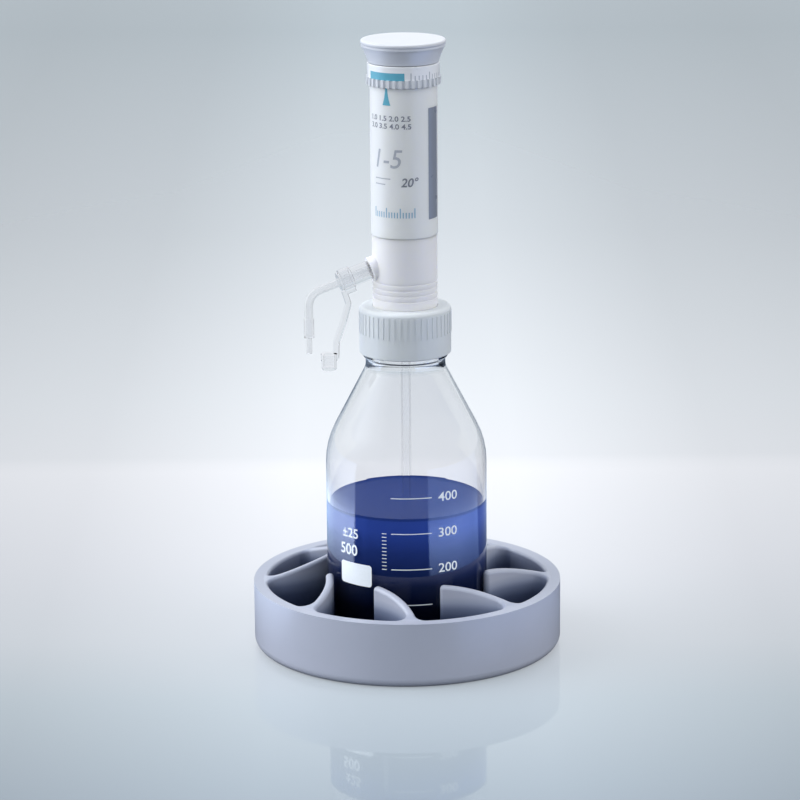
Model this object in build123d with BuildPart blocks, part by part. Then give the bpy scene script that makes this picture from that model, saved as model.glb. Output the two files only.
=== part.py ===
from build123d import *
import os
from math import cos, radians, sin, sqrt

# A bottle top dispenser, screwed on its reagent bottle, which stands in its round stand.
# Millimetres. +Z is up, the bottle's axis is Z, and the origin is the centre of the stand's foot.
# The spout points along -X. Angles are measured about Z from +X, anticlockwise from above.

os.makedirs("parts", exist_ok=True)

# ---------------------------------------------------------------- driving dimensions

# stand
stand_r = 82.7
stand_rim_z = 35.4
rim_inner_r = 75.4
floor_z = 7.0
foot_recess_r = 66.0
foot_recess_depth = 1.5
foot_fillet = 5.0
rim_fillet = 3.0
vane_count = 8
vane_root_deg = -12.9
vane_thickness = 4.2
vane_tip_z = 44.5
vane_slope_start_r = 77.5
vane_root_fillet = 5.5
vane_top_fillet = 1.7
vane_root = (80.0, 0.4)
vane_middle = (57.7, -5.5)
vane_tip = (42.4, -17.2)
vane_tip_r = 42.0

# bottle
bottle_r = 43.0
bottle_wall = 2.4
bottle_base_t = 3.2
bottle_mouth_z = 182.0
shoulder_z = 111.6
shoulder_bend = 44.0
neck_foot_z = 153.5
neck_bend = 8.0
neck_r = 21.3
neck_bore_r = 17.4
bead_r = 22.5
bead_z = 158.2
bead_top_z = 162.2
thread_r = 22.4
thread_z = 163.5
thread_length = 15.5
heel_bend = 9.0
base_ring_r = 31.0
base_rise = 1.8
liquid_z = 81.0
liquid_gap = 0.05

# union nut
nut_r = 24.6
nut_band_r = 24.35
nut_z = 161.1
nut_top_z = 186.5
nut_bore_r = 22.75
nut_lip_z = 185.05
nut_lip_r = 17.5
nut_shoulder = 2.2
rib_z = 172.5
rib_top_z = 183.8
rib_count = 48
rib_depth = 0.6
rib_width = 1.7

# valve block
block_r = 17.25
block_top_z = 225.2
flange_r = 22.0
flange_z = 183.0
flange_t = 2.0
spigot_r = 9.5
spigot_z = 176.0
sleeve_seat_r = 15.95
sleeve_seat_h = 4.0
sleeve_seat_wall = 1.75
ring_groove_z = 191.0
ring_groove_pitch = 3.0
ring_groove_count = 4
ring_groove_depth = 0.35

# spout, which leaves the block along -X and down
spout_z = 212.9
spout_drop_deg = 18.4
spout_corner_x = 52.6
spout_bend = 9.0
spout_tube_r = 2.3
spout_bore_r = 1.2
fitting_r = 5.0
fitting_end = 38.0
fitting_shoulder = 20.0
fitting_spigot_r = 3.5
fitting_spigot_start = 17.1
boss_r = 6.6
nozzle_sleeve_r = 2.8
nozzle_sleeve_z = 172.2
nozzle_sleeve_top_z = 182.5
nozzle_r = 1.6
nozzle_bore_r = 0.9
nozzle_z = 163.6

# closing cap and its arm
clip_place = 33.6
clip_width = 6.0
clip_r = 6.0
clip_groove_r = 4.4
clip_gap = 0.05
arm_thickness = 2.8
arm_width = 3.4
cap_x = 41.8
cap_z = 153.9
cap_collar_z = 158.9
cap_top_z = 162.4
cap_r = 3.9
cap_collar_r = 4.3
cap_bore_r = 2.85
cap_floor = 1.4

# valves
intake_bore_r = 1.8
intake_seat_z = 190.0
intake_ball_r = 2.5
intake_chamber_r = 3.2
intake_chamber_top_z = 197.0
intake_insert_r = 6.0
duct_r = 2.0
outlet_x = 12.2
outlet_port_z = 199.6
outlet_port_r = 1.1
outlet_seat_z = 202.0
outlet_ball_r = 1.75
outlet_chamber_r = 2.4
outlet_plug_z = 212.0
spring_wire_r = 0.22
spring_r = 1.2
spring_turns = 4
seat_gap = 0.08

# intake tube
tube_r = 2.6
tube_bore_r = 1.8
tube_foot_z = 14.0

# barrel and plunger
barrel_r = 7.75
barrel_bore_r = 5.75
barrel_z = 206.0
barrel_top_z = 300.0
barrel_socket_r = 7.8
piston_r = 5.70
piston_z = 206.6
piston_top_z = 222.0
rod_r = 3.0
rod_top_z = 317.0
sleeve_tube_r = 14.0
sleeve_tube_wall = 1.3
sleeve_tube_z = 236.0
sleeve_tube_top_z = 322.0
stroke_per_ml = 9.6
largest_ml = 5.0
smallest_ml = 1.0
step_ml = 0.5
step_deg = 30.0
peg_deg = 75.0
peg_r = 1.5
peg_z = 240.0
peg_end_r = 15.45
stop_gap = 0.2
stop_sleeve_in_r = 14.3
stop_sleeve_out_r = 15.7

# housing, rings and knob
housing_r = 17.7
housing_wall = 1.7
housing_top_z = 305.0
window_deg = -43.0
window_span_deg = 32.0
window_z = 234.8
window_top_z = 293.8
ring_bore_r = 14.25
knurl_r = 19.7
knurl_root_r = 18.6
knurl_z = 305.2
knurl_top_z = 309.2
knurl_count = 36
knurl_tooth_width = 2.6
knurl_tooth_slope = 75
scale_r = 18.9
scale_top_z = 316.4
knob_z = 316.8
knob_foot_r = 18.7
knob_r = 22.0
knob_rim_z = 325.0
knob_top_z = 326.2
knob_wall = 1.6
cap_disc_r = 22.3
cap_disc_top_z = 328.3
cap_spigot_r = 19.0
cap_spigot_z = 325.0
screw_r = 1.5
screw_foot_z = 309.0
screw_head_z = 322.4
screw_head_t = 2.4


def spout_point(distance, drop=0.0):
    """A point this far along the spout's axis, and this far under it."""
    slope = radians(spout_drop_deg)
    x = -distance * cos(slope) - drop * sin(slope)
    z = spout_z - distance * sin(slope) - drop * cos(slope)
    return Vector(x, 0, z)


def spout_plane(distance):
    """A plane across the spout's axis, looking outwards along it."""
    slope = radians(spout_drop_deg)
    outwards = Vector(-cos(slope), 0, -sin(slope))
    return Plane(origin=spout_point(distance), x_dir=(0, 1, 0), z_dir=outwards)


def tube_section(outer_r, inner_r):
    """A ring-shaped section in the sketch that is open."""
    Circle(outer_r)
    Circle(inner_r, mode=Mode.SUBTRACT)


# ---------------------------------------------------------------- stand

# one vane in plan, its root pointing along +X; it curls clockwise towards the bottle
with BuildSketch() as vane_plan:
    with BuildLine():
        vane_line = ThreePointArc(vane_root, vane_middle, vane_tip)
        offset(vane_line, amount=vane_thickness / 2, side=Side.BOTH)
    make_face()

with BuildPart() as bottle_stand:
    with BuildSketch(Plane.XZ):
        with BuildLine():
            Polyline(
                (0, foot_recess_depth),
                (foot_recess_r, foot_recess_depth),
                (foot_recess_r, 0),
                (stand_r, 0),
                (stand_r, stand_rim_z),
                (vane_slope_start_r, stand_rim_z),
                (vane_tip_r, vane_tip_z),
                (0, vane_tip_z),
                close=True,
            )
        make_face()
        corners = vertices().filter_by_position(Axis.X, stand_r - 0.1, stand_r + 0.1).sort_by(Axis.Y)
        fillet(corners[0], foot_fillet)
        fillet(corners[-1], rim_fillet)
    revolve(axis=Axis.Z)
    with BuildSketch(Plane.XY.offset(floor_z)):
        Circle(rim_inner_r)
        with PolarLocations(0, vane_count, start_angle=vane_root_deg):
            add(vane_plan.sketch, mode=Mode.SUBTRACT)
        roots = [v for v in vertices() if abs(sqrt(v.X**2 + v.Y**2) - rim_inner_r) < 0.1]
        fillet(roots, vane_root_fillet)
    extrude(amount=vane_tip_z, mode=Mode.SUBTRACT)
    vane_tops = bottle_stand.faces().filter_by(GeomType.CONE).sort_by(SortBy.AREA)[-1]
    slope_edge = vane_tops.edges().filter_by(GeomType.CIRCLE).sort_by(SortBy.RADIUS)[-1]
    fillet([edge for edge in vane_tops.edges() if edge != slope_edge], vane_top_fillet)
bottle_stand.part.label = "bottle_stand"
export_step(bottle_stand.part, "parts/bottle_stand.step")

# ---------------------------------------------------------------- bottle and reagent

shoulder_slope = (bottle_r - neck_r) / (neck_foot_z - shoulder_z)
shoulder_rise = sqrt(1 + shoulder_slope**2)
inner_r = bottle_r - bottle_wall
inner_floor_z = floor_z + bottle_base_t
inner_shoulder_z = shoulder_z + bottle_wall * (1 - shoulder_rise) / shoulder_slope
inner_neck_z = inner_shoulder_z + (inner_r - neck_bore_r) / shoulder_slope


def corner_near(radius, height):
    """The corner of the open profile at this radius and height."""
    return min(vertices(), key=lambda v: abs(v.X - radius) + abs(v.Y - height))


with BuildSketch(Plane.XZ) as inside_profile:
    with BuildLine():
        Polyline(
            (0, inner_floor_z + base_rise),
            (base_ring_r, inner_floor_z),
            (inner_r, inner_floor_z),
            (inner_r, inner_shoulder_z),
            (neck_bore_r, inner_neck_z),
            (neck_bore_r, bottle_mouth_z),
            (0, bottle_mouth_z),
            close=True,
        )
    make_face()
    fillet(corner_near(inner_r, inner_floor_z), heel_bend - bottle_wall)
    fillet(corner_near(inner_r, inner_shoulder_z), shoulder_bend - bottle_wall)
    fillet(corner_near(neck_bore_r, inner_neck_z), neck_bend + bottle_wall)

with BuildPart() as bottle_inside:
    add(inside_profile.sketch)
    revolve(axis=Axis.Z)

with BuildPart() as bottle:
    with BuildSketch(Plane.XZ):
        with BuildLine():
            Polyline(
                (0, floor_z + base_rise),
                (base_ring_r, floor_z),
                (bottle_r, floor_z),
                (bottle_r, shoulder_z),
                (neck_r, neck_foot_z),
                (neck_r, bottle_mouth_z),
                (0, bottle_mouth_z),
                close=True,
            )
        make_face()
        fillet(corner_near(bottle_r, floor_z), heel_bend)
        fillet(corner_near(bottle_r, shoulder_z), shoulder_bend)
        fillet(corner_near(neck_r, neck_foot_z), neck_bend)
    revolve(axis=Axis.Z)
    # the bead under the thread, and the thread's own band
    with BuildSketch(Plane.XY.offset(bead_z)):
        Circle(bead_r)
    bead = extrude(amount=bead_top_z - bead_z)
    fillet(bead.edges().filter_by(GeomType.CIRCLE) & bottle.edges(), 1.1)
    with BuildSketch(Plane.XY.offset(thread_z)):
        Circle(thread_r)
    thread_band = extrude(amount=thread_length)
    fillet(thread_band.edges().filter_by(GeomType.CIRCLE) & bottle.edges(), 0.8)
    add(bottle_inside.part, mode=Mode.SUBTRACT)
bottle.part.label = "bottle"
export_step(bottle.part, "parts/bottle.step")

# the reagent stops a hair short of the glass
with BuildPart() as liquid:
    with BuildSketch(Plane.XZ):
        add(inside_profile.sketch)
        mirror(about=Plane.YZ)
        offset(amount=-liquid_gap)
        upwards = (Align.CENTER, Align.MIN)
        with Locations((0, liquid_z)):
            Rectangle(2 * bottle_r, bottle_mouth_z, align=upwards, mode=Mode.SUBTRACT)
        with Locations((0, tube_foot_z)):
            Rectangle(2 * (tube_r + liquid_gap), bottle_mouth_z, align=upwards, mode=Mode.SUBTRACT)
        Rectangle(bottle_r, bottle_mouth_z, align=(Align.MAX, Align.MIN), mode=Mode.SUBTRACT)
    revolve(axis=Axis.Z)
liquid.part.label = "liquid"
export_step(liquid.part, "parts/liquid.step")

# ---------------------------------------------------------------- union nut and gasket

with BuildPart() as union_nut:
    with BuildSketch(Plane.XY.offset(nut_z)):
        Circle(nut_band_r)
    extrude(amount=nut_top_z - nut_z)
    chamfer(union_nut.edges().group_by(Axis.Z)[0], 0.4)
    fillet(union_nut.edges().group_by(Axis.Z)[-1], nut_shoulder)
    with BuildSketch(Plane.XY.offset(rib_z)):
        Circle(nut_band_r - rib_depth / 2)
        with PolarLocations(nut_r - rib_depth, rib_count):
            Rectangle(2 * rib_depth, rib_width)
    extrude(amount=rib_top_z - rib_z)
    with BuildSketch(Plane.XY.offset(nut_z)):
        Circle(nut_bore_r)
    extrude(amount=nut_lip_z - nut_z, mode=Mode.SUBTRACT)
    with BuildSketch(Plane.XY.offset(nut_lip_z)):
        Circle(nut_lip_r)
    extrude(amount=nut_top_z - nut_lip_z, mode=Mode.SUBTRACT)
union_nut.part.label = "union_nut"
export_step(union_nut.part, "parts/union_nut.step")

with BuildPart() as bottle_gasket:
    with BuildSketch(Plane.XY.offset(bottle_mouth_z)):
        tube_section(neck_r - 0.4, neck_bore_r + 0.4)
    extrude(amount=flange_z - bottle_mouth_z)
bottle_gasket.part.label = "bottle_gasket"
export_step(bottle_gasket.part, "parts/bottle_gasket.step")

# ---------------------------------------------------------------- valve block

with BuildPart() as valve_block:
    with BuildSketch(Plane.XY.offset(flange_z)):
        Circle(flange_r)
    extrude(amount=flange_t)
    with BuildSketch(Plane.XY.offset(spigot_z)):
        Circle(spigot_r)
    extrude(amount=flange_z - spigot_z)
    with BuildSketch(Plane.XY.offset(flange_z + flange_t)):
        Circle(block_r)
    extrude(amount=block_top_z - flange_z - flange_t)
    with BuildSketch(spout_plane(fitting_shoulder - 8.0)):
        Circle(boss_r)
    extrude(amount=8.0)
    for step in range(ring_groove_count):
        with BuildSketch(Plane.XY.offset(ring_groove_z + step * ring_groove_pitch)):
            tube_section(block_r, block_r - ring_groove_depth)
        extrude(amount=ring_groove_pitch / 3, mode=Mode.SUBTRACT)
    with BuildSketch(Plane.XY.offset(block_top_z)):
        tube_section(sleeve_seat_r, sleeve_seat_r - sleeve_seat_wall)
    extrude(amount=sleeve_seat_h)
    # suction side: seat pocket, ball chamber and duct, then the barrel's socket
    for bottom_z, top_z, radius in (
        (spigot_z, intake_seat_z, intake_insert_r + 0.05),
        (intake_seat_z, intake_chamber_top_z, intake_chamber_r),
        (intake_chamber_top_z, barrel_z - 1.0, duct_r),
        (barrel_z - 1.0, block_top_z, barrel_socket_r),
    ):
        with BuildSketch(Plane.XY.offset(bottom_z)):
            Circle(radius)
        extrude(amount=top_z - bottom_z, mode=Mode.SUBTRACT)
    # discharge side: port, riser under the seat, chamber open to the top, and the spout's channel
    with BuildSketch(Plane.YZ.offset(-outlet_x)):
        with Locations((0, outlet_port_z)):
            Circle(outlet_port_r)
    extrude(amount=outlet_x, mode=Mode.SUBTRACT)
    with BuildSketch(Plane.XY.offset(outlet_port_z)):
        with Locations((-outlet_x, 0)):
            Circle(outlet_port_r)
    extrude(amount=outlet_seat_z - outlet_port_z, mode=Mode.SUBTRACT)
    with BuildSketch(Plane.XY.offset(outlet_seat_z)):
        with Locations((-outlet_x, 0)):
            Circle(outlet_chamber_r)
    extrude(amount=block_top_z - outlet_seat_z, mode=Mode.SUBTRACT)
    with BuildSketch(spout_plane(outlet_x)):
        Circle(spout_bore_r)
    extrude(amount=fitting_shoulder - outlet_x, mode=Mode.SUBTRACT)
    with BuildSketch(spout_plane(fitting_spigot_start)):
        Circle(fitting_spigot_r + 0.05)
    extrude(amount=fitting_shoulder - fitting_spigot_start, mode=Mode.SUBTRACT)
valve_block.part.label = "valve_block"
export_step(valve_block.part, "parts/valve_block.step")

# ---------------------------------------------------------------- valves

with BuildPart() as intake_valve:
    with BuildSketch(Plane.XY.offset(spigot_z)):
        Circle(intake_insert_r)
    extrude(amount=intake_seat_z - spigot_z)
    with BuildSketch(Plane.XY.offset(spigot_z)):
        Circle(tube_r + 0.05)
        Circle(tube_bore_r - 0.05, mode=Mode.SUBTRACT)
    extrude(amount=7.0, mode=Mode.SUBTRACT)
    with BuildSketch(Plane.XY.offset(spigot_z)):
        Circle(intake_bore_r - 0.6)
    extrude(amount=intake_seat_z - spigot_z, mode=Mode.SUBTRACT)
    with Locations((0, 0, intake_seat_z)):
        Cone(0.2, intake_bore_r, 2.0, align=(Align.CENTER, Align.CENTER, Align.MAX), mode=Mode.SUBTRACT)
intake_valve.part.label = "intake_valve"
export_step(intake_valve.part, "parts/intake_valve.step")

intake_ball_z = intake_seat_z + sqrt(intake_ball_r**2 - intake_bore_r**2) + seat_gap
with BuildPart() as intake_ball:
    with Locations((0, 0, intake_ball_z)):
        Sphere(intake_ball_r)
intake_ball.part.label = "intake_ball"
export_step(intake_ball.part, "parts/intake_ball.step")

with BuildPart() as intake_tube:
    with BuildSketch(Plane.XY.offset(tube_foot_z)):
        tube_section(tube_r, tube_bore_r)
    extrude(amount=spigot_z + 6.9 - tube_foot_z)
    # the foot is cut at a slant so that it can't seal against the bottle's floor
    with Locations((0, 0, tube_foot_z)):
        Box(4 * tube_r, 4 * tube_r, 2 * tube_r, rotation=(0, 30, 0), mode=Mode.SUBTRACT)
intake_tube.part.label = "intake_tube"
export_step(intake_tube.part, "parts/intake_tube.step")

outlet_ball_z = outlet_seat_z + sqrt(outlet_ball_r**2 - outlet_port_r**2) + seat_gap
with BuildPart() as outlet_ball:
    with Locations((-outlet_x, 0, outlet_ball_z)):
        Sphere(outlet_ball_r)
outlet_ball.part.label = "outlet_ball"
export_step(outlet_ball.part, "parts/outlet_ball.step")

spring_z = outlet_ball_z + outlet_ball_r + spring_wire_r + 0.05
spring_h = outlet_plug_z - spring_wire_r - 0.05 - spring_z
with BuildPart() as outlet_spring:
    with BuildLine():
        coil = Helix(spring_h / spring_turns, spring_h, spring_r, center=(-outlet_x, 0, spring_z))
    with BuildSketch(Plane(origin=coil @ 0, z_dir=coil % 0)):
        Circle(spring_wire_r)
    sweep(path=coil, is_frenet=True)
outlet_spring.part.label = "outlet_spring"
export_step(outlet_spring.part, "parts/outlet_spring.step")

with BuildPart() as outlet_plug:
    with BuildSketch(Plane.XY.offset(outlet_plug_z)):
        with Locations((-outlet_x, 0)):
            Circle(outlet_chamber_r - 0.03)
    extrude(amount=block_top_z - outlet_plug_z)
    with Locations((-outlet_x, 0, block_top_z)):
        Box(2 * outlet_chamber_r, 0.8, 2.4, mode=Mode.SUBTRACT)
outlet_plug.part.label = "outlet_plug"
export_step(outlet_plug.part, "parts/outlet_plug.step")

# ---------------------------------------------------------------- barrel and piston

with BuildPart() as glass_cylinder:
    with BuildSketch(Plane.XY.offset(barrel_z)):
        tube_section(barrel_r, barrel_bore_r)
    extrude(amount=barrel_top_z - barrel_z)
    chamfer(glass_cylinder.edges().group_by(Axis.Z)[-1], 0.4)
glass_cylinder.part.label = "glass_cylinder"
export_step(glass_cylinder.part, "parts/glass_cylinder.step")

with BuildPart() as cylinder_seal:
    with BuildSketch(Plane.XY.offset(barrel_z - 1.0)):
        tube_section(barrel_r, barrel_bore_r)
    extrude(amount=1.0)
cylinder_seal.part.label = "cylinder_seal"
export_step(cylinder_seal.part, "parts/cylinder_seal.step")

# a bush that caps the barrel and guides the rod
with BuildPart() as rod_guide:
    with BuildSketch(Plane.XZ):
        with BuildLine():
            Polyline(
                (rod_r + 0.05, barrel_top_z - 4.0),
                (barrel_bore_r - 0.05, barrel_top_z - 4.0),
                (barrel_bore_r - 0.05, barrel_top_z),
                (barrel_r + 0.05, barrel_top_z),
                (barrel_r + 0.05, barrel_top_z - 5.0),
                (barrel_r + 1.6, barrel_top_z - 5.0),
                (barrel_r + 1.6, barrel_top_z + 2.0),
                (rod_r + 0.05, barrel_top_z + 2.0),
                close=True,
            )
        make_face()
    revolve(axis=Axis.Z)
rod_guide.part.label = "rod_guide"
export_step(rod_guide.part, "parts/rod_guide.step")

with BuildPart() as piston:
    with BuildSketch(Plane.XY.offset(piston_z)):
        Circle(piston_r)
    extrude(amount=piston_top_z - piston_z)
    chamfer(piston.edges().group_by(Axis.Z)[0], 0.5)
    with BuildSketch(Plane.XY.offset(piston_top_z - 5.0)):
        Circle(rod_r - 1.0)
    extrude(amount=5.0, mode=Mode.SUBTRACT)
piston.part.label = "piston"
export_step(piston.part, "parts/piston.step")

with BuildPart() as piston_rod:
    with BuildSketch(Plane.XY.offset(piston_top_z)):
        Circle(rod_r)
    extrude(amount=rod_top_z - piston_top_z)
    with BuildSketch(Plane.XY.offset(piston_top_z - 4.9)):
        Circle(rod_r - 1.05)
    extrude(amount=4.9)
    with BuildSketch(Plane.XY.offset(screw_foot_z)):
        Circle(screw_r + 0.03)
    extrude(amount=rod_top_z - screw_foot_z, mode=Mode.SUBTRACT)
piston_rod.part.label = "piston_rod"
export_step(piston_rod.part, "parts/piston_rod.step")

# ---------------------------------------------------------------- plunger sleeve, peg and stops

with BuildPart() as plunger_sleeve:
    with BuildSketch(Plane.XY.offset(sleeve_tube_z)):
        tube_section(sleeve_tube_r, sleeve_tube_r - sleeve_tube_wall)
    extrude(amount=sleeve_tube_top_z - sleeve_tube_z)
    chamfer(plunger_sleeve.edges().group_by(Axis.Z)[0].sort_by(SortBy.RADIUS)[-1], 0.3)
    with BuildSketch(Plane(origin=(0, 0, peg_z), z_dir=Vector(1, 0, 0).rotate(Axis.Z, peg_deg))):
        Circle(peg_r + 0.03)
    extrude(amount=sleeve_tube_r + 1.0, mode=Mode.SUBTRACT)
plunger_sleeve.part.label = "plunger_sleeve"
export_step(plunger_sleeve.part, "parts/plunger_sleeve.step")

peg_direction = Vector(1, 0, 0).rotate(Axis.Z, peg_deg)
with BuildPart() as stop_peg:
    peg_start = peg_direction * (sleeve_tube_r - sleeve_tube_wall)
    with BuildSketch(Plane(origin=peg_start + Vector(0, 0, peg_z), z_dir=peg_direction)):
        Circle(peg_r)
    extrude(amount=peg_end_r - sleeve_tube_r + sleeve_tube_wall)
stop_peg.part.label = "stop_peg"
export_step(stop_peg.part, "parts/stop_peg.step")

# The peg meets one step of this sleeve at the end of each stroke. Turning the ring brings
# another step over the peg, half a millilitre higher or lower.
step_count = round((largest_ml - smallest_ml) / step_ml) + 1
with BuildPart() as stop_sleeve:
    with BuildSketch(Plane.XY.offset(knurl_z)):
        tube_section(stop_sleeve_out_r, stop_sleeve_in_r)
    largest_stop_z = peg_z + peg_r + largest_ml * stroke_per_ml + stop_gap
    extrude(amount=largest_stop_z - knurl_z)
    for step in range(1, step_count):
        stop_z = largest_stop_z - step * step_ml * stroke_per_ml
        middle = peg_deg + step * step_deg
        with BuildSketch(Plane.XY.offset(stop_z)):
            with BuildLine(Plane.XY):
                low, high = middle - step_deg / 2, middle + step_deg / 2
                inner = CenterArc((0, 0), stop_sleeve_in_r, low, step_deg)
                outer = CenterArc((0, 0), stop_sleeve_out_r, low, step_deg)
                Line(inner @ 0, outer @ 0)
                Line(inner @ 1, outer @ 1)
            make_face()
        extrude(amount=largest_stop_z - stop_z)
stop_sleeve.part.label = "stop_sleeve"
export_step(stop_sleeve.part, "parts/stop_sleeve.step")

# ---------------------------------------------------------------- housing and its window

with BuildPart() as window_sector:
    with BuildSketch(Plane.XY.offset(window_z)):
        with BuildLine():
            reach = housing_r + 5.0
            sector = CenterArc((0, 0), reach, window_deg - window_span_deg / 2, window_span_deg)
            Line((0, 0), sector @ 0)
            Line((0, 0), sector @ 1)
        make_face()
    extrude(amount=window_top_z - window_z)

with BuildPart() as label_sleeve:
    with BuildSketch(Plane.XY.offset(block_top_z)):
        tube_section(housing_r, housing_r - housing_wall)
    extrude(amount=housing_top_z - block_top_z)
    round_edges = label_sleeve.edges().filter_by(GeomType.CIRCLE)
    fillet(round_edges.filter_by(lambda edge: edge.radius > housing_r - 0.1), 0.4)
    add(window_sector.part, mode=Mode.SUBTRACT)
label_sleeve.part.label = "label_sleeve"
export_step(label_sleeve.part, "parts/label_sleeve.step")

with BuildPart() as sight_window:
    with BuildSketch(Plane.XY.offset(window_z)):
        tube_section(housing_r - 0.15, housing_r - housing_wall)
    extrude(amount=window_top_z - window_z)
    add(window_sector.part, mode=Mode.INTERSECT)
sight_window.part.label = "sight_window"
export_step(sight_window.part, "parts/sight_window.step")

# ---------------------------------------------------------------- setting ring and scale

with BuildPart() as setting_ring:
    with BuildSketch(Plane.XY.offset(knurl_z)):
        Circle(knurl_root_r)
        with PolarLocations(knurl_root_r, knurl_count):
            Trapezoid(knurl_tooth_width, 2 * (knurl_r - knurl_root_r), knurl_tooth_slope, rotation=-90)
        Circle(stop_sleeve_out_r + 0.02, mode=Mode.SUBTRACT)
    extrude(amount=knurl_top_z - knurl_z)
setting_ring.part.label = "setting_ring"
export_step(setting_ring.part, "parts/setting_ring.step")

with BuildPart() as scale_ring:
    with BuildSketch(Plane.XY.offset(knurl_top_z)):
        tube_section(scale_r, ring_bore_r)
    extrude(amount=scale_top_z - knurl_top_z)
    fillet(scale_ring.edges().group_by(Axis.Z)[-1].sort_by(SortBy.RADIUS)[-1], 0.5)
scale_ring.part.label = "scale_ring"
export_step(scale_ring.part, "parts/scale_ring.step")

# ---------------------------------------------------------------- knob

hub_r = sleeve_tube_r - sleeve_tube_wall - 0.05
with BuildPart() as knob:
    with BuildSketch(Plane.XZ):
        with BuildLine():
            foot = Line((knob_foot_r - knob_wall, knob_z), (knob_foot_r, knob_z))
            flare = Spline(
                foot @ 1,
                (knob_foot_r + 1.0, knob_z + 3.4),
                (knob_r, knob_rim_z),
                tangents=((0.12, 1), (0.75, 1)),
            )
            rim = Polyline(flare @ 1, (knob_r, knob_top_z), (cap_spigot_r + 0.05, knob_top_z))
            seat = Polyline(rim @ 1, (cap_spigot_r + 0.05, cap_spigot_z), (screw_r + 1.6, cap_spigot_z))
            well = Polyline(seat @ 1, (screw_r + 1.6, screw_head_z), (screw_r + 0.03, screw_head_z))
            Polyline(
                well @ 1,
                (screw_r + 0.03, rod_top_z),
                (hub_r, rod_top_z),
                (hub_r, sleeve_tube_top_z),
                (knob_foot_r - knob_wall, sleeve_tube_top_z),
                foot @ 0,
            )
        make_face()
    revolve(axis=Axis.Z)
    fillet(knob.edges().filter_by(GeomType.CIRCLE).group_by(Axis.Z)[-1].sort_by(SortBy.RADIUS)[-1], 0.3)
knob.part.label = "knob"
export_step(knob.part, "parts/knob.step")

with BuildPart() as knob_cap:
    with BuildSketch(Plane.XY.offset(knob_top_z)):
        Circle(cap_disc_r)
    extrude(amount=cap_disc_top_z - knob_top_z)
    fillet(knob_cap.edges().group_by(Axis.Z)[-1], 0.9)
    fillet(knob_cap.edges().group_by(Axis.Z)[0], 0.5)
    with BuildSketch(Plane.XY.offset(cap_spigot_z)):
        Circle(cap_spigot_r)
    extrude(amount=knob_top_z - cap_spigot_z)
knob_cap.part.label = "knob_cap"
export_step(knob_cap.part, "parts/knob_cap.step")

with BuildPart() as knob_screw:
    with BuildSketch(Plane.XY.offset(screw_foot_z)):
        Circle(screw_r)
    extrude(amount=screw_head_z - screw_foot_z)
    with BuildSketch(Plane.XY.offset(screw_head_z)):
        Circle(screw_r + 1.4)
    extrude(amount=screw_head_t)
    with BuildSketch(Plane.XY.offset(screw_head_z + screw_head_t)):
        RegularPolygon(1.3, 6)
    extrude(amount=-1.4, mode=Mode.SUBTRACT)
knob_screw.part.label = "knob_screw"
export_step(knob_screw.part, "parts/knob_screw.step")

# ---------------------------------------------------------------- spout

with BuildPart() as outlet_fitting:
    with BuildSketch(spout_plane(fitting_spigot_start)):
        Circle(fitting_spigot_r)
    extrude(amount=fitting_shoulder - fitting_spigot_start)
    with BuildSketch(spout_plane(fitting_shoulder)):
        Circle(fitting_r)
    extrude(amount=fitting_end - fitting_shoulder)
    with BuildSketch(spout_plane(clip_place - clip_width / 2 - 0.1)):
        tube_section(fitting_r, clip_groove_r)
    extrude(amount=clip_width + 0.2, mode=Mode.SUBTRACT)
    with BuildSketch(spout_plane(fitting_spigot_start)):
        Circle(spout_tube_r + 0.02)
    extrude(amount=fitting_end - fitting_spigot_start, mode=Mode.SUBTRACT)
outlet_fitting.part.label = "outlet_fitting"
export_step(outlet_fitting.part, "parts/outlet_fitting.step")

spout_corner = spout_point(spout_corner_x / cos(radians(spout_drop_deg)))
with BuildPart() as spout_tube:
    with BuildLine():
        tube_line = FilletPolyline(
            spout_point(fitting_spigot_start),
            spout_corner,
            Vector(-spout_corner_x, 0, nozzle_sleeve_z + 0.4),
            radius=spout_bend,
        )
    with BuildSketch(spout_plane(fitting_spigot_start)):
        tube_section(spout_tube_r, spout_bore_r)
    sweep(path=tube_line)
spout_tube.part.label = "spout_tube"
export_step(spout_tube.part, "parts/spout_tube.step")

with BuildPart() as nozzle_sleeve:
    with BuildSketch(Plane.XY.offset(nozzle_sleeve_z)):
        with Locations((-spout_corner_x, 0)):
            tube_section(nozzle_sleeve_r, spout_tube_r + 0.02)
    extrude(amount=nozzle_sleeve_top_z - nozzle_sleeve_z)
nozzle_sleeve.part.label = "nozzle_sleeve"
export_step(nozzle_sleeve.part, "parts/nozzle_sleeve.step")

with BuildPart() as nozzle_tip:
    with BuildSketch(Plane.XY.offset(nozzle_z)):
        with Locations((-spout_corner_x, 0)):
            Circle(nozzle_r)
    extrude(amount=nozzle_sleeve_z - nozzle_z)
    with BuildSketch(Plane.XY.offset(nozzle_sleeve_z)):
        with Locations((-spout_corner_x, 0)):
            Circle(spout_tube_r)
    extrude(amount=0.3)
    with BuildSketch(Plane.XY.offset(nozzle_z)):
        with Locations((-spout_corner_x, 0)):
            Circle(nozzle_bore_r)
    extrude(amount=nozzle_sleeve_z - nozzle_z + 0.3, mode=Mode.SUBTRACT)
nozzle_tip.part.label = "nozzle_tip"
export_step(nozzle_tip.part, "parts/nozzle_tip.step")

# ---------------------------------------------------------------- closing cap on its swinging arm

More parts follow.
